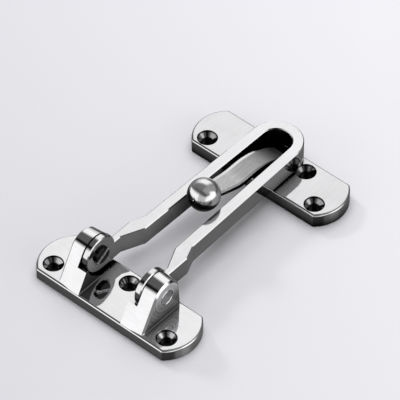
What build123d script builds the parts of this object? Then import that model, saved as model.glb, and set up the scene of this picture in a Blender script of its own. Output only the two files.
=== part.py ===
from build123d import *
import os
from math import cos, radians, sin, sqrt

# Swing bar door guard: a hinged U-shaped bar that closes over a ball on a catch plate.
# Millimetres, +Z up. The origin is the middle of the hinge plate's mounting face, the bar points along +Y
# and its hinge axis runs along X.

# Hinge plate
base_corner_x = 33.9
base_half_length = 39.8
base_width = 25.2
base_thickness = 5.4
base_hole_x = 30.7
base_end_hole_y = -5.8
base_middle_hole_y = 6.4

# Catch plate
catch_y = 94.9
catch_corner_x = 33.1
catch_half_length = 38.6
catch_width = 23.8
catch_thickness = 6.6
catch_front_hole_x = 29.2
catch_rear_hole_x = 14.8
catch_front_hole_row = 6.4
catch_rear_hole_row = 5.6

# Edges and screw holes of both plates
plate_edge_round = 1.0
plate_corner_round = 0.8
screw_hole_r = 2.3
countersink_r = 4.5

# Hinge axis, pins and knuckles
axis_y = 3.5
axis_z = 16.1
pin_r = 3.4
pin_head_r = 4.0
pin_head_height = 1.2
pin_slot_width = 1.2
pin_slot_depth = 0.7
pin_slot_angle = 31.0
pin_end_chamfer = 0.25
running_clearance = 0.05
seat_clearance = 0.02
knuckle_r = 8.6
knuckle_inner_x = 12.7
knuckle_thickness = 2.9
knuckle_side_gap = 0.5

# Lugs: a thick cheek that narrows outwards, and a low front stop beside each knuckle
lug_thickness = 6.8
lug_top_r = 8.3
lug_draft = 5.0
lug_edge = 0.8
stop_inner_x = 11.4
stop_height = 9.1
stop_clearance = 0.7
stop_ramp_angle = 34.0

# Swing bar
bar_height = 9.5
bar_edge = 0.4
leg_straight_inner_y = 15.2
leg_straight_outer_y = 24.2
slot_start_y = 25.4
slot_start_x = 8.1
leg_outer_start_y = 30.7
leg_outer_start_x = 13.0
loop_overrun = 3.6
loop_inner_r = 6.85
loop_width = 4.85

# Ball and arm, with places ahead of the catch plate's middle
ball_r = 7.1
ball_ahead = 42.4
ball_z = 21.0
ball_seat = 5.2
tenon_r = 1.3
tenon_length = 5.0
tenon_end_gap = 0.5
arm_slope = 16.0
arm_thickness = 2.4
arm_neck_half_width = 3.9
arm_half_width = 5.1
arm_crest_z = 17.1
arm_crest_ahead = 17.9
arm_bend_r = 18.0
arm_flare_ahead = 25.9
arm_root_ahead = 7.9
arm_root_top_ahead = 13.4
arm_root_r = 5.0
arm_foot_margin = 1.2
arm_foot_corner_r = 4.4
arm_edge_round = 0.9

# Places that follow from the sizes above
bar_bottom = axis_z - knuckle_r
bar_top = bar_bottom + bar_height
knuckle_outer_x = knuckle_inner_x + knuckle_thickness
lug_inner_x = knuckle_outer_x + knuckle_side_gap
lug_outer_x = lug_inner_x + lug_thickness
stop_top = base_thickness + stop_height
loop_outer_r = loop_inner_r + loop_width
loop_y = catch_y + loop_overrun
ball_y = catch_y - ball_ahead
arm_crest_y = catch_y - arm_crest_ahead
arm_flare_y = catch_y - arm_flare_ahead
arm_root_y = catch_y - arm_root_ahead
arm_root_top_y = catch_y - arm_root_top_ahead


def tangent_point(point, centre, radius, turn):
    """Point where a line from a point touches a circle; turn is +1 or -1 for the side that it passes."""
    away = Vector(*centre) - Vector(*point)
    reach = sqrt(away.length**2 - radius**2)
    across = Vector(-away.Y, away.X) * turn
    foot = Vector(*point) + away * (reach / away.length) ** 2
    return foot + across * (reach * radius / away.length**2)


def plate(corner_x, half_length, width, thickness, middle_y):
    """Flat plate with straight long sides, bowed ends and a rounded upper edge."""
    front = middle_y - width / 2
    rear = middle_y + width / 2
    outline = [
        Line((-corner_x, front), (corner_x, front)),
        ThreePointArc((corner_x, front), (half_length, middle_y), (corner_x, rear)),
        Line((corner_x, rear), (-corner_x, rear)),
        ThreePointArc((-corner_x, rear), (-half_length, middle_y), (-corner_x, front)),
    ]
    face = make_face(outline)
    body = extrude(fillet(face.vertices(), plate_corner_round), thickness)
    return fillet(body.faces().sort_by(Axis.Z)[-1].edges(), plate_edge_round)


def screw_holes(places, thickness):
    """Countersunk holes right through a plate, as solids to cut away."""
    cone = Cone(screw_hole_r, countersink_r, countersink_r - screw_hole_r)
    cone = Pos(Z=thickness - (countersink_r - screw_hole_r) / 2) * cone
    drill = Pos(Z=thickness / 2) * Cylinder(screw_hole_r, 2 * thickness)
    return [Pos(x, y) * (cone + drill) for x, y in places]


def along_x(profile, start_x, end_x):
    """Solid between two X stations from a closed profile drawn as (Y, Z)."""
    return extrude(Plane.YZ.offset(start_x) * make_face(profile), end_x - start_x)


def x_cylinder(radius, start_x, end_x):
    """Cylinder on the hinge axis between two X stations."""
    return extrude(Plane.YZ.offset(start_x) * Pos(axis_y, axis_z) * Circle(radius), end_x - start_x)


def cheek_profile():
    """Cheek seen from the side: sloped front, round top about the hinge axis, steep back."""
    inside = base_thickness / 2
    toe = (-base_width / 2, base_thickness - plate_edge_round)
    heel = (base_width / 2, base_thickness)
    centre = (axis_y, axis_z)
    front = tangent_point(toe, centre, lug_top_r, 1)
    rear = tangent_point(heel, centre, lug_top_r, -1)
    return [
        Polyline(toe, (toe[0], inside), (heel[0], inside), heel, rear),
        ThreePointArc(rear, (axis_y, axis_z + lug_top_r), front),
        Line(front, toe),
    ], (front - Vector(*toe)).normalized()


def stop_profile(slope):
    """Low stop in front of the knuckle, hollowed to its round and ramped down to the plate."""
    inside = base_thickness / 2
    toe = Vector(-base_width / 2, base_thickness - plate_edge_round)
    hollow_r = knuckle_r + stop_clearance
    crest = toe + slope * ((stop_top - toe.Y) / slope.Y)
    drop = axis_z - stop_top
    hollow_start = Vector(axis_y - sqrt(hollow_r**2 - drop**2), stop_top)
    down = radians(270 - stop_ramp_angle)
    middle_angle = (down + radians(180)) / 2
    hollow_middle = Vector(axis_y + hollow_r * cos(middle_angle), axis_z + hollow_r * sin(middle_angle))
    hollow_end = Vector(axis_y + hollow_r * cos(down), axis_z + hollow_r * sin(down))
    fall = hollow_end.Y - base_thickness
    ramp_end = Vector(hollow_end.X + fall * sin(-down) / -cos(down), base_thickness)
    return [
        Polyline(toe, (toe.X, inside), (ramp_end.X, inside), ramp_end, hollow_end),
        ThreePointArc(hollow_end, hollow_middle, hollow_start),
        Polyline(hollow_start, crest, toe),
    ]


def hinge_base():
    """Plate with two lugs, one casting."""
    body = plate(base_corner_x, base_half_length, base_width, base_thickness, 0)
    profile, slope = cheek_profile()
    inner_face = Plane.YZ.offset(lug_inner_x) * make_face(profile)
    cheek = extrude(inner_face, lug_thickness, taper=lug_draft)
    rim = cheek.faces().sort_by(Axis.X)[-1].edges().filter_by(lambda edge: edge.center().Z > base_thickness)
    cheek = chamfer(rim, lug_edge)
    stop = along_x(stop_profile(slope), stop_inner_x, lug_inner_x)
    bore = x_cylinder(pin_r + seat_clearance, lug_inner_x - knuckle_side_gap, lug_outer_x + knuckle_side_gap)
    lug = cheek + stop - bore
    mouth = lug.faces().sort_by(Axis.X)[-1].edges().filter_by(GeomType.CIRCLE).sort_by(SortBy.RADIUS)[0]
    lug = chamfer(mouth, pin_end_chamfer)
    body = body + lug + mirror(lug, about=Plane.YZ)
    holes = [(-base_hole_x, base_end_hole_y), (base_hole_x, base_end_hole_y), (0, base_middle_hole_y)]
    return body - screw_holes(holes, base_thickness)


def pivot_pin():
    """Right-hand pin: shank flush with the cheek's outside, slotted head inside the knuckle."""
    head_start = knuckle_inner_x - running_clearance
    shank = x_cylinder(pin_r, head_start, lug_outer_x)
    shank = chamfer(shank.faces().sort_by(Axis.X)[-1].edges(), pin_end_chamfer)
    head = x_cylinder(pin_head_r, head_start - pin_head_height, head_start)
    head = chamfer(head.faces().sort_by(Axis.X)[0].edges(), pin_end_chamfer)
    slot = Box(2 * pin_slot_depth, 3 * pin_head_r, pin_slot_width)
    slot = Pos(head_start - pin_head_height, axis_y, axis_z) * Rot(X=pin_slot_angle) * slot
    return shank + head - slot


def bar_outline():
    """Bar seen from above: straight ends at the knuckles, joggled legs that close in, round end."""
    centre = (0, loop_y)
    inner = tangent_point((slot_start_x, slot_start_y), centre, loop_inner_r, -1)
    outer = tangent_point((leg_outer_start_x, leg_outer_start_y), centre, loop_outer_r, -1)
    inner_leg = [(knuckle_inner_x, axis_y), (knuckle_inner_x, leg_straight_inner_y),
                 (slot_start_x, slot_start_y), (inner.X, inner.Y)]
    outer_leg = [(knuckle_outer_x, axis_y), (knuckle_outer_x, leg_straight_outer_y),
                 (leg_outer_start_x, leg_outer_start_y), (outer.X, outer.Y)]
    edges = []
    for leg, radius in ((inner_leg, loop_inner_r), (outer_leg, loop_outer_r)):
        other = [(-x, y) for x, y in leg]
        edges += [Polyline(*leg), ThreePointArc(leg[-1], (0, loop_y + radius), other[-1]), Polyline(*other)]
    for side in (-1, 1):
        edges.append(Line((side * knuckle_inner_x, axis_y), (side * knuckle_outer_x, axis_y)))
    return edges


def swing_bar():
    """U-shaped bar with a knuckle on the end of each leg, one piece."""
    body = extrude(Pos(Z=bar_bottom) * make_face(bar_outline()), bar_height)
    rims = body.edges().filter_by(Plane.XY).filter_by(lambda edge: edge.center().Y > axis_y)
    body = chamfer(rims, bar_edge)
    knuckle = x_cylinder(knuckle_r, knuckle_inner_x, knuckle_outer_x)
    knuckle = chamfer(knuckle.edges(), bar_edge)
    bore = x_cylinder(pin_r + running_clearance, knuckle_inner_x - knuckle_side_gap, lug_inner_x)
    for eye, hole in ((knuckle, bore), (mirror(knuckle, about=Plane.YZ), mirror(bore, about=Plane.YZ))):
        body = body + eye - hole
    return body


def arm():
    """Tongue that rises from the catch plate, runs forward over its edge and ends in a tenon."""
    slope = radians(arm_slope)
    back = Vector(cos(slope), -sin(slope))
    lift = Vector(sin(slope), cos(slope))
    neck = Vector(ball_y, ball_z) + back * ball_seat
    neck_top = neck + lift * (arm_thickness / 2)
    neck_bottom = neck - lift * (arm_thickness / 2)
    crest = (arm_crest_y, arm_crest_z)
    under_z = arm_crest_z - arm_thickness
    knee_top_y = neck_top.X + (neck_top.Y - arm_crest_z) * back.X / -back.Y
    knee_bottom_y = neck_bottom.X + (neck_bottom.Y - under_z) * back.X / -back.Y
    inside = catch_thickness / 2
    foot_y = catch_y + catch_width / 2 - arm_foot_margin
    top = FilletPolyline(neck_top, (knee_top_y, arm_crest_z), crest, radius=arm_bend_r)
    root = (arm_root_y, inside)
    under = FilletPolyline(
        root, (arm_root_top_y, under_z), (knee_bottom_y, under_z), neck_bottom, radius=[arm_root_r, arm_bend_r])
    side = [top, TangentArc(crest, (foot_y, inside), tangent=(1, 0)), Line((foot_y, inside), root), under,
            Line(neck_bottom, neck_top)]
    body = along_x(side, -arm_half_width, arm_half_width)

    front_y = neck_bottom.X - arm_thickness
    plan = make_face(Polyline(
        (-arm_neck_half_width, front_y), (arm_neck_half_width, front_y), (arm_half_width, arm_flare_y),
        (arm_half_width, foot_y), (-arm_half_width, foot_y), (-arm_half_width, arm_flare_y), close=True))
    body = body & extrude(plan, ball_z + ball_r)
    deck = body.faces().filter_by(lambda face: face.normal_at().Z > 0)
    rims = deck.edges().filter_by(Axis.X, reverse=True)
    body = fillet(rims.filter_by_position(Axis.Z, catch_thickness, ball_z), arm_edge_round)
    foot = fillet(plan.vertices().group_by(Axis.Y)[-1], arm_foot_corner_r)
    body = body & extrude(foot, ball_z + ball_r)
    tenon_plane = Plane(origin=(0, neck.X, neck.Y), z_dir=(0, -back.X, -back.Y))
    return body + extrude(tenon_plane * Circle(tenon_r), tenon_length)


def catch():
    """Catch plate and arm, one casting."""
    body = plate(catch_corner_x, catch_half_length, catch_width, catch_thickness, catch_y) + arm()
    front = catch_y - catch_front_hole_row
    rear = catch_y + catch_rear_hole_row
    holes = [(-catch_front_hole_x, front), (catch_front_hole_x, front), (catch_rear_hole_x, rear)]
    return body - screw_holes(holes, catch_thickness)


def ball_knob():
    """Turned ball with a flat and a blind bore where it sits on the arm."""
    slope = radians(arm_slope)
    seat = Plane(origin=(0, ball_y, ball_z), z_dir=(0, cos(slope), -sin(slope)))
    flat = Pos(Z=ball_seat + ball_r / 2) * Box(2 * ball_r, 2 * ball_r, ball_r)
    depth = tenon_length + tenon_end_gap
    bore = Pos(Z=ball_seat - depth / 2) * Cylinder(tenon_r + seat_clearance, depth)
    return seat * (Sphere(ball_r) - flat - bore)


pin = pivot_pin()
parts = {
    "hinge_base": hinge_base(),
    "swing_bar": swing_bar(),
    "pivot_pin_right": pin,
    "pivot_pin_left": mirror(pin, about=Plane.YZ),
    "catch_plate": catch(),
    "ball_knob": ball_knob(),
}

os.makedirs("parts", exist_ok=True)
for name, solid in parts.items():
    export_step(solid, f"parts/{name}.step")
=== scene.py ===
"""Looks of the swing bar door guard: polished plating, floor, studio light and camera, in metres."""
from math import cos, radians, sin

import bpy
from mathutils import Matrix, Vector

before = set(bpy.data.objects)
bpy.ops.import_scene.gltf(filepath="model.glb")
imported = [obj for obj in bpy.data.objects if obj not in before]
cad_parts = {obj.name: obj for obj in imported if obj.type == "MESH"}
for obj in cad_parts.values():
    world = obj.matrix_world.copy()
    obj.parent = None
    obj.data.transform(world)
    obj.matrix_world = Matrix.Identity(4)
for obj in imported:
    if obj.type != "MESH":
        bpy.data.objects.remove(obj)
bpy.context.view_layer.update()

# Camera: azimuth 0 looks along +Y
camera_azimuth = 40.921
camera_elevation = 46.913
camera_target = Vector((-0.012054, 0.063945, 0.0))
camera_distance = 1.5
camera_clip_start = 0.01
pixels_per_metre = 2400.0
image_width = 400
sensor_width = 36.0

# Studio room. The angle of a strip goes from the front horizon at 0 over the top at 90 to the back
# at 180, and below the horizon it is negative. The side goes from -1 at the left to 1 at the right.
# Each strip: its angles and its sides as (from, to, soft start, soft end), then its strength
room_level = 0.006
room_strips = {
    "front_window": ((-14, 40, 4, 12), (-1.2, 0.0, 0.1, 0.15), 1.15),
    "camera_side": ((-8, 40, 6, 12), (0.0, 0.75, 0.15, 0.1), 0.55),
    "ceiling": ((65, 112, 8, 8), (-1.2, 1.2, 0.1, 0.1), 0.11),
    "back_wall": ((112, 172, 8, 8), (-1.2, 1.2, 0.1, 0.1), 0.10),
    "back_right": ((70, 165, 8, 8), (0.1, 0.7, 0.12, 0.06), 0.18),
    "back_right_window": ((95, 165, 8, 8), (0.68, 0.95, 0.05, 0.05), 0.8),
    "back_softbox": ((117, 163, 10, 8), (-0.85, -0.05, 0.2, 0.2), 1.02),
    "back_low": ((166, 188, 5, 5), (-0.9, -0.52, 0.06, 0.06), 0.9),
    "right_low": ((-40, 0, 10, 4), (0.7, 1.2, 0.08, 0.1), 0.25),
    "floor_left": ((-90, -16, 6, 6), (-1.2, 0.05, 0.1, 0.15), 0.08),
    "floor_front": ((-90, -32, 8, 8), (0.05, 0.8, 0.15, 0.1), 0.035),
    "floor_back": ((-176, -80, 8, 8), (-1.2, 1.2, 0.1, 0.1), 0.14),
    "floor_right": ((-176, -96, 8, 8), (0.52, 1.2, 0.08, 0.1), 0.12),
}
# Window on the right, by side and height instead of angle
right_window_side = (0.76, 1.2, 0.1, 0.1)
right_window_height = (-0.04, 0.5, 0.08, 0.08)
right_window_strength = 1.2

# Lights that the plating doesn't mirror: (direction, distance, size, power)
floor_lights = {
    "overhead": (Vector((-0.15, 0.2, 1.0)), 2.0, 2.6, 31.0),
    "side": (Vector((-1.0, 0.12, 0.70)), 1.4, 0.22, 4.2),
}

# Floor, with painted light: paler towards the rear right
floor_size = 8.0
floor_height = -0.0002
floor_left_colour = (0.70, 0.695, 0.73)
floor_right_colour = (0.82, 0.815, 0.855)
floor_span = (-0.07, 0.17)
floor_roughness = 0.9
floor_specular = 0.1
# Painted shade on the floor right under the plates, seen only through their screw holes:
# (half length, half width, middle)
floor_painted_shade = ((0.035, 0.0118, 0.0), (0.034, 0.0112, 0.0949))

# Grain and unevenness of all plating
along_bar = (1.0, 0.03, 1.0)
along_plate = (0.03, 1.0, 1.0)
across_ball = (0.05, 0.05, 1.0)
line_detail = 5.0
cloud_scale = 90.0
cloud_detail = 2.0
cloud_gain = (0.8, 1.2)
peel_scale = 420.0
peel_detail = 1.0
noise_span = (0.3, 0.7)
mottle_span = (0.35, 0.65)
tone_spread = (0.93, 1.05)
line_height = 0.35
bump_distance = 0.0002

# Painted shade in recesses: the colour darkens where a point is sheltered, and upright faces
# above a height count as more sheltered. The last two are heights under and over every piece.
painted_shade_colour = (0.02, 0.02, 0.021)
shelter_samples = 8
wall_facing = (0.1, 0.4)
wall_shade = 0.22
wall_fade = 0.0006
whole_piece = -1.0
no_walls = 1.0

# Screw holes, painted shade: height of the plate's top and places of the holes on each plate,
# then the bore and the rim, painted black, by distance from a hole's middle
base_holes = (0.0054, ((-0.0307, -0.0058), (0.0307, -0.0058), (0.0, 0.0064)))
catch_holes = (0.0066, ((-0.0292, 0.0885), (0.0292, 0.0885), (0.0148, 0.1005)))
bore_fade = (0.0023, 0.0026)
rim_fade = (0.0038, 0.0041)
rim_end = (0.0046, 0.0047)
sunk_depth = (0.00008, 0.00004)
# Painted shade: how much of its brightness the ring between bore and rim keeps
ring_painted_shade_level = 0.65

# Hinge: its axis, the lugs' brushed sides with painted shade darker low down, and painted shade that
# blackens the sides of the stops
hinge_y = 0.0035
hinge_z = 0.0161
side_facing = (0.85, 0.95)
side_from = (0.0056, 0.0062)
lug_fade = (0.012, 0.020)
lug_low_painted_shade = 0.9
lug_metallic = 0.35
mark_scale = 900.0
mark_detail = 2.0
mark_span = (0.38, 0.62)
mark_low = 0.6
stop_fade = (0.0118, 0.0125)
stop_side_painted_shade = 0.12

# Arm: brushed above a height, apart from its left rim, which stays polished and paler as a painted
# highlight band, and painted shade makes it darker towards its foot
arm_from = 0.0072
arm_edge = 0.0003
arm_rim_span = (0.0575, 0.069)
arm_rim_width = (0.0022, 0.0033)
deck_facing = (0.4, 0.7)
satin_colours = ((0.40, 0.40, 0.405), (0.60, 0.60, 0.605))
arm_foot_painted_shade = (0.12, 0.12, 0.122)
arm_foot_shade_span = (0.066, 0.098)
satin_roughness = 0.24
satin_metallic = 0.65
satin_open = 0.65

# Ball: painted shade, black on the side away from this direction, in place of a dark reflection
ball_up = (0.287, 0.249, 1.0)
ball_fade = (0.1, 0.28)

# Pins: heads painted black for blackened steel and a dark reflection, painted highlight in slots,
# plated outer ends
slot_angle = radians(31.0)
slot_edge = (0.0006, 0.0009)
slot_metallic = 0.2
scuff_scale = 2600.0
scuff_detail = 3.0
scuff_reach = 0.0002
scuff_roughness = 0.05
head_end = (0.0127, 0.0130)
pin_dark = ((0.018, 0.018, 0.02), (0.05, 0.05, 0.052))
pin_light = ((0.66, 0.66, 0.67), (0.86, 0.86, 0.87))
pin_roughness = (0.16, 0.5)
pin_waviness = 0.06


class Graph:
    """Short way to add shader nodes and join them."""

    def __init__(self, tree):
        self.tree = tree

    def add(self, kind, inputs=None, **settings):
        node = self.tree.nodes.new(kind)
        for name, value in settings.items():
            setattr(node, name, value)
        for name, value in (inputs or {}).items():
            if isinstance(value, bpy.types.NodeSocket):
                self.link(value, node.inputs[name])
            else:
                node.inputs[name].default_value = value
        return node

    def link(self, value, socket):
        self.tree.links.new(value, socket)

    def math(self, operation, first, second=0.0):
        return self.add("ShaderNodeMath", {0: first, 1: second}, operation=operation).outputs[0]

    def vector(self, operation, first, second):
        node = self.add("ShaderNodeVectorMath", {0: first, 1: second}, operation=operation)
        return node.outputs["Value"]

    def split(self, vector):
        return self.add("ShaderNodeSeparateXYZ", {"Vector": vector}).outputs

    def combine(self, **axes):
        return self.add("ShaderNodeCombineXYZ", axes).outputs["Vector"]

    def ramp(self, value, low, high, to_low, to_high, smooth=False):
        kind = "SMOOTHSTEP" if smooth else "LINEAR"
        inputs = {"Value": value, "From Min": low, "From Max": high,
                  "To Min": to_low, "To Max": to_high}
        return self.add("ShaderNodeMapRange", inputs, interpolation_type=kind).outputs["Result"]

    def mix(self, factor, first, second):
        inputs = {"Factor": factor}
        for name, colour in (("A", first), ("B", second)):
            inputs[name] = colour if isinstance(colour, bpy.types.NodeSocket) else (*colour, 1.0)
        return self.add("ShaderNodeMix", inputs, data_type="RGBA").outputs["Result"]

    def noise(self, place, scale, detail):
        inputs = {"Vector": place, "Scale": scale, "Detail": detail}
        return self.add("ShaderNodeTexNoise", inputs).outputs["Fac"]

    def bump(self, height, strength):
        inputs = {"Height": height, "Strength": strength, "Distance": bump_distance}
        return self.add("ShaderNodeBump", inputs).outputs["Normal"]


def new_material(name):
    """Material with its graph and the inputs of its shader."""
    material = bpy.data.materials.new(name)
    material.use_nodes = True
    nodes = material.node_tree.nodes
    return material, Graph(material.node_tree), nodes["Principled BSDF"].inputs


def polished_metal(name, colour, roughness, grain, grain_scale, waviness, recess, walls_from,
                   metallic=1.0, shades=(), matt=None, has_arm=False):
    """Plated metal: polishing lines along the grain, slow tone changes, faint waves, painted shade
    in recesses.

    A recess is how far a point looks for shelter, and how open it is where it is black and where
    it has its full tone: painted shade, darker the more sheltered. Each shade paints more shade over
    places of the piece. Matt is a finder of less metallic places and how metallic they are.
    """
    material, graph, shader = new_material(name)
    place = graph.add("ShaderNodeTexCoord").outputs["Object"]
    axes = graph.split(place)
    facing = graph.add("ShaderNodeNewGeometry").outputs["Normal"]
    upward = graph.math("ABSOLUTE", graph.split(facing)["Z"])
    stretched = graph.add("ShaderNodeMapping", {"Vector": place, "Scale": grain}).outputs["Vector"]
    lines = graph.noise(stretched, grain_scale, line_detail)
    cloud = graph.noise(place, cloud_scale, cloud_detail)
    peel = graph.noise(place, peel_scale, peel_detail)

    uneven = graph.math("MULTIPLY", lines, graph.ramp(cloud, *noise_span, *cloud_gain))
    rough = graph.ramp(uneven, *noise_span, *roughness)
    dull, pale = [tuple(min(1.0, channel * factor) for channel in colour) for factor in tone_spread]
    mottle = graph.math("MULTIPLY", graph.math("ADD", cloud, lines), 0.5)
    tone = graph.mix(graph.ramp(mottle, *mottle_span, 0.0, 1.0), dull, pale)

    reach, closed, open_air = recess
    # Painted shade: the colour goes black in sheltered places and more so on upright walls, found by
    # ambient occlusion
    occlusion = graph.add("ShaderNodeAmbientOcclusion", {"Distance": reach}, samples=shelter_samples)
    wall = graph.math("MULTIPLY", graph.ramp(upward, *wall_facing, wall_shade, 0.0),
                      graph.ramp(axes["Z"], walls_from, walls_from + wall_fade, 0.0, 1.0))
    openness = graph.math("SUBTRACT", occlusion.outputs["AO"], wall)
    bright = graph.ramp(openness, closed, open_air, 0.0, 1.0, smooth=True)

    shader["Metallic"].default_value = metallic
    if matt is not None:
        find_places, places_metallic = matt
        places = find_places(graph, axes, facing)
        graph.link(graph.ramp(places, 0.0, 1.0, metallic, places_metallic), shader["Metallic"])
    if has_arm:
        satin = arm_satin(graph, axes)
        deck = graph.math("MULTIPLY", satin, graph.ramp(upward, *deck_facing, 0.0, 1.0))
        brushed = graph.mix(graph.ramp(lines, *noise_span, 0.0, 1.0), *satin_colours)
        # Painted shade: the arm's colour darkens towards its foot
        brushed = graph.mix(graph.ramp(axes["Y"], *arm_foot_shade_span, 0.0, 1.0), brushed, arm_foot_painted_shade)
        tone = graph.mix(satin, tone, brushed)
        rough = graph.math("ADD", rough, graph.math("MULTIPLY", satin, satin_roughness))
        bright = graph.math("MAXIMUM", bright, graph.math("MULTIPLY", deck, satin_open))
        graph.link(graph.ramp(deck, 0.0, 1.0, metallic, satin_metallic), shader["Metallic"])
    # Painted shades of single pieces darken the colour further
    for shade in shades:
        bright = graph.math("MULTIPLY", bright, shade(graph, axes, facing))

    height = graph.math("ADD", graph.math("MULTIPLY", lines, line_height), peel)
    graph.link(graph.mix(bright, painted_shade_colour, tone), shader["Base Color"])
    graph.link(rough, shader["Roughness"])
    graph.link(graph.bump(height, waviness), shader["Normal"])
    return material


def arm_satin(graph, axes):
    """1 on the arm, 0 on its left rim and on the plate."""
    # The left rim stays polished and paler than the brushed deck: a painted highlight band
    rim = graph.ramp(axes["Y"], *arm_rim_span, *arm_rim_width)
    inside = graph.ramp(graph.math("ADD", axes["X"], rim), -arm_edge, arm_edge, 0.0, 1.0)
    above = graph.ramp(axes["Z"], arm_from, arm_from + arm_edge, 0.0, 1.0)
    return graph.math("MULTIPLY", above, inside)


def hole_painted_shade(top, centres):
    """Painted shade of screw holes: black bores and rims, dimmed rings between, full outside."""
    def shade(graph, axes, facing):
        flat = graph.combine(X=axes["X"], Y=axes["Y"])
        nearest = 1.0
        for centre in centres:
            away = graph.vector("DISTANCE", flat, (*centre, 0.0))
            nearest = graph.math("MINIMUM", away, nearest)
        ring = graph.math("MULTIPLY", graph.ramp(nearest, *bore_fade, 0.0, ring_painted_shade_level),
                          graph.ramp(nearest, *rim_fade, 1.0, 0.0))
        deep, shallow = sunk_depth
        sunk = graph.math("MULTIPLY", graph.ramp(axes["Z"], top - deep, top - shallow, 1.0, 0.0),
                          graph.ramp(nearest, *rim_end, 1.0, 0.0))
        return graph.math("MAXIMUM", ring, graph.math("SUBTRACT", 1.0, sunk))
    return shade


def sideways(graph, facing):
    """1 on faces that look to the left or right, 0 elsewhere."""
    across = graph.math("ABSOLUTE", graph.split(facing)["X"])
    return graph.ramp(across, *side_facing, 0.0, 1.0)


def lug_sides(graph, axes, facing):
    """Painted shade on the lugs' sides: marks round the pin, darker low down, black beside the
    stops.
    """
    above = graph.ramp(axes["Z"], *side_from, 0.0, 1.0)
    sides = graph.math("MULTIPLY", sideways(graph, facing), above)
    beside = graph.combine(Y=axes["Y"], Z=axes["Z"])
    rings = graph.combine(X=graph.vector("DISTANCE", beside, (0.0, hinge_y, hinge_z)))
    marks = graph.ramp(graph.noise(rings, mark_scale, mark_detail), *mark_span, mark_low, 1.0)
    # Painted shade: darker low down and black beside the stops
    rise = graph.ramp(axes["Z"], *lug_fade, lug_low_painted_shade, 1.0, smooth=True)
    outwards = graph.ramp(graph.math("ABSOLUTE", axes["X"]), *stop_fade, stop_side_painted_shade, 1.0)
    light = graph.math("MULTIPLY", graph.math("MULTIPLY", marks, rise), outwards)
    dark = graph.math("SUBTRACT", 1.0, light)
    return graph.math("SUBTRACT", 1.0, graph.math("MULTIPLY", sides, dark))


def lug_tops(graph, axes, facing):
    """1 on the upper part of the lugs' sides, 0 elsewhere."""
    rise = graph.ramp(axes["Z"], *lug_fade, 0.0, 1.0, smooth=True)
    return graph.math("MULTIPLY", sideways(graph, facing), rise)


def ball_painted_shade(graph, axes, facing):
    """Painted shade of the ball: black where it faces down, in place of a dark reflection."""
    up = graph.vector("DOT_PRODUCT", facing, ball_up)
    return graph.ramp(up, *ball_fade, 0.0, 1.0, smooth=True)


def pin_metal():
    """Pin: head painted black (blackened steel and dark reflection), painted slot highlight, plated
    outer end.
    """
    material, graph, shader = new_material("pin_steel")
    place = graph.add("ShaderNodeTexCoord").outputs["Object"]
    axes = graph.split(place)
    from_axis_y = graph.math("SUBTRACT", axes["Y"], hinge_y)
    from_axis_z = graph.math("SUBTRACT", axes["Z"], hinge_z)
    across = graph.math("ADD", graph.math("MULTIPLY", from_axis_y, -sin(slot_angle)),
                        graph.math("MULTIPLY", from_axis_z, cos(slot_angle)))
    scuff = graph.noise(place, scuff_scale, scuff_detail)
    # Painted highlight: the slot is pale and less metallic, widened unevenly by scuffs
    slot_distance = graph.math("ADD", graph.math("ABSOLUTE", across),
                      graph.math("MULTIPLY", scuff, scuff_reach))
    outside = graph.ramp(graph.math("ABSOLUTE", axes["X"]), *head_end, 0.0, 1.0)
    slot = graph.math("MULTIPLY", graph.ramp(slot_distance, *slot_edge, 1.0, 0.0),
                      graph.math("SUBTRACT", 1.0, outside))
    bright = graph.math("MAXIMUM", slot, outside)
    tone = graph.mix(bright, graph.mix(scuff, *pin_dark), graph.mix(scuff, *pin_light))
    rough = graph.math("ADD", graph.ramp(slot, 0.0, 1.0, *pin_roughness),
                       graph.ramp(scuff, *noise_span, -scuff_roughness, scuff_roughness))
    graph.link(tone, shader["Base Color"])
    graph.link(graph.ramp(slot, 0.0, 1.0, 1.0, slot_metallic), shader["Metallic"])
    graph.link(rough, shader["Roughness"])
    graph.link(graph.bump(scuff, pin_waviness), shader["Normal"])
    return material


def dress(node, material):
    """Give a CAD node its one material."""
    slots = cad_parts[node].data.materials
    slots.clear()
    slots.append(material)


def band(graph, value, start, end, soft_start, soft_end):
    """1 between start and end, falling to 0 over soft edges."""
    rise = graph.ramp(value, start - soft_start, start + soft_start, 0.0, 1.0, smooth=True)
    fall = graph.ramp(value, end - soft_end, end + soft_end, 1.0, 0.0, smooth=True)
    return graph.math("MULTIPLY", rise, fall)


def studio_world():
    """Dim room with long windows and a softbox, seen in the plating."""
    world = bpy.data.worlds.new("studio")
    world.use_nodes = True
    bpy.context.scene.world = world
    graph = Graph(world.node_tree)
    axes = graph.split(graph.add("ShaderNodeTexCoord").outputs["Generated"])
    ahead = graph.math("MULTIPLY", axes["Y"], -1.0)
    angle = graph.math("DEGREES", graph.math("ARCTAN2", axes["Z"], ahead))

    window = graph.math("MULTIPLY", band(graph, axes["X"], *right_window_side),
                        band(graph, axes["Z"], *right_window_height))
    light = graph.math("ADD", graph.math("MULTIPLY", window, right_window_strength), room_level)
    for angles, sides, strength in room_strips.values():
        strip = graph.math("MULTIPLY", band(graph, angle, *angles), band(graph, axes["X"], *sides))
        light = graph.math("ADD", light, graph.math("MULTIPLY", strip, strength))
    graph.link(light, world.node_tree.nodes["Background"].inputs["Color"])


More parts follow.
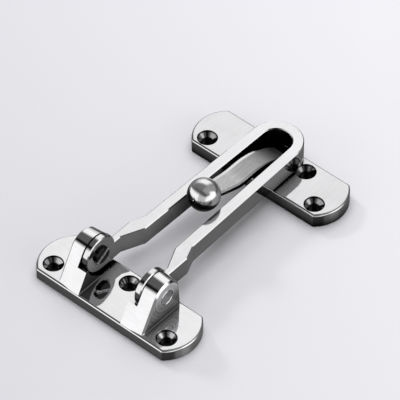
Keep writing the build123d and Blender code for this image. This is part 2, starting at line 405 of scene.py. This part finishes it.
def pale_floor():
    """Pale floor that the plating doesn't mirror, with painted light paler towards the rear right
    and painted shade under the plates.
    """
    bpy.ops.mesh.primitive_plane_add(size=floor_size, location=(0, 0, floor_height))
    floor = bpy.context.object
    floor.name = "floor"
    floor.visible_glossy = False
    material, graph, shader = new_material("floor_paper")
    axes = graph.split(graph.add("ShaderNodeTexCoord").outputs["Object"])
    # Painted light: the floor is paler towards the rear right
    across = graph.math("ADD", axes["X"], axes["Y"])
    painted_light_gradient = graph.ramp(across, *floor_span, 0.0, 1.0)
    tone = graph.mix(painted_light_gradient, floor_left_colour, floor_right_colour)
    # Painted shade: the floor is near-black right under each plate
    for half_x, half_y, middle_y in floor_painted_shade:
        away_x = graph.math("ABSOLUTE", axes["X"])
        away_y = graph.math("ABSOLUTE", graph.math("SUBTRACT", axes["Y"], middle_y))
        covered = graph.math("MULTIPLY", graph.math("LESS_THAN", away_x, half_x),
                             graph.math("LESS_THAN", away_y, half_y))
        tone = graph.mix(covered, tone, painted_shade_colour)
    graph.link(tone, shader["Base Color"])
    shader["Roughness"].default_value = floor_roughness
    shader["Specular IOR Level"].default_value = floor_specular
    floor.data.materials.append(material)


def light_floor():
    """Broad light from above and a smaller one from the left, which gives the shadows."""
    for name, (towards, distance, size, power) in floor_lights.items():
        data = bpy.data.lights.new(name, "AREA")
        data.shape = "DISK"
        data.size = size
        data.energy = power
        light = bpy.data.objects.new(name, data)
        light.location = camera_target + towards.normalized() * distance
        light.rotation_euler = towards.to_track_quat("Z", "Y").to_euler()
        light.visible_glossy = False
        bpy.context.scene.collection.objects.link(light)


def photo_camera():
    """Camera at the photograph's angle and scale."""
    azimuth = radians(camera_azimuth)
    elevation = radians(camera_elevation)
    back = Vector((sin(azimuth) * cos(elevation), -cos(azimuth) * cos(elevation), sin(elevation)))
    data = bpy.data.cameras.new("camera")
    data.sensor_fit = "HORIZONTAL"
    data.sensor_width = sensor_width
    data.lens = sensor_width * pixels_per_metre * camera_distance / image_width
    data.clip_start = camera_clip_start
    camera = bpy.data.objects.new("camera", data)
    camera.location = camera_target + back * camera_distance
    camera.rotation_euler = back.to_track_quat("Z", "Y").to_euler()
    bpy.context.scene.collection.objects.link(camera)
    bpy.context.scene.camera = camera


base_metal = polished_metal(
    "base_plating", colour=(0.80, 0.80, 0.81), roughness=(0.03, 0.07),
    grain=along_plate, grain_scale=2600.0, waviness=0.03,
    recess=(0.012, 0.3, 0.62), walls_from=0.0056,
    shades=(hole_painted_shade(*base_holes), lug_sides), matt=(lug_tops, lug_metallic))
bar_metal = polished_metal(
    "bar_plating", colour=(0.75, 0.75, 0.76), roughness=(0.06, 0.12),
    grain=along_bar, grain_scale=3000.0, waviness=0.04,
    recess=(0.02, 0.24, 0.5), walls_from=whole_piece)
catch_metal = polished_metal(
    "catch_plating", colour=(0.69, 0.69, 0.70), roughness=(0.05, 0.11),
    grain=along_bar, grain_scale=2600.0, waviness=0.04,
    recess=(0.01, 0.33, 0.66), walls_from=whole_piece,
    shades=(hole_painted_shade(*catch_holes),), has_arm=True)
ball_metal = polished_metal(
    "ball_plating", colour=(0.80, 0.80, 0.81), roughness=(0.13, 0.19),
    grain=across_ball, grain_scale=2200.0, waviness=0.03,
    recess=(0.05, 0.45, 0.72), walls_from=no_walls,
    metallic=0.92, shades=(ball_painted_shade,))
pin_steel = pin_metal()

dress("hinge_base", base_metal)
dress("swing_bar", bar_metal)
dress("catch_plate", catch_metal)
dress("ball_knob", ball_metal)
dress("pivot_pin_left", pin_steel)
dress("pivot_pin_right", pin_steel)

studio_world()
pale_floor()
light_floor()
photo_camera()
bpy.context.scene.view_settings.view_transform = "Standard"
